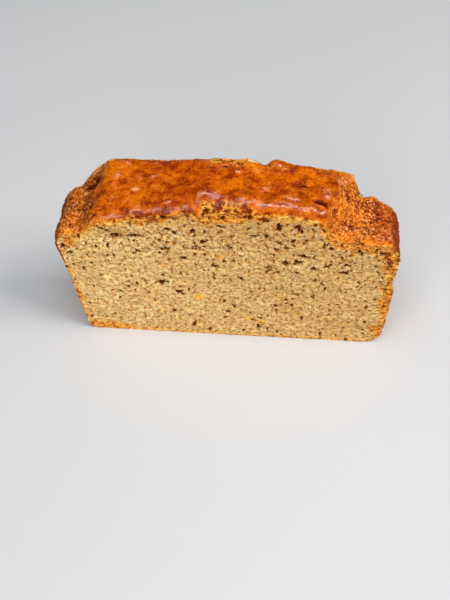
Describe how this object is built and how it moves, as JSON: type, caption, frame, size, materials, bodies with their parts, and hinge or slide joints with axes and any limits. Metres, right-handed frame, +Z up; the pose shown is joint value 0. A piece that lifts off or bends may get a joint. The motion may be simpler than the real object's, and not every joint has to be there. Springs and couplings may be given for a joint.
{
  "type": "banana bread slice",
  "caption": "Thick slice across a loaf of banana bread: flat base, sloping sides, low shoulders and a raised dome of browned crust round an open, moist crumb.",
  "frame": {"origin": "middle of the slice's box, on the surface that the slice stands on", "axes": "+Z up from the base crust to the dome, +X across the slice from the left shoulder to the right one, +Y through the slice away from the cut face that the picture shows"},
  "size_m": [0.1298, 0.0262, 0.0738],
  "materials": {
    "banana_bread": "moist golden-beige crumb with fine brown-edged pores; glossy orange-brown crust over it, rougher and darker on the shoulders"
  },
  "bodies": {
    "root": {"banana_bread_slice": "banana_bread"}
  },
  "joints": []
}
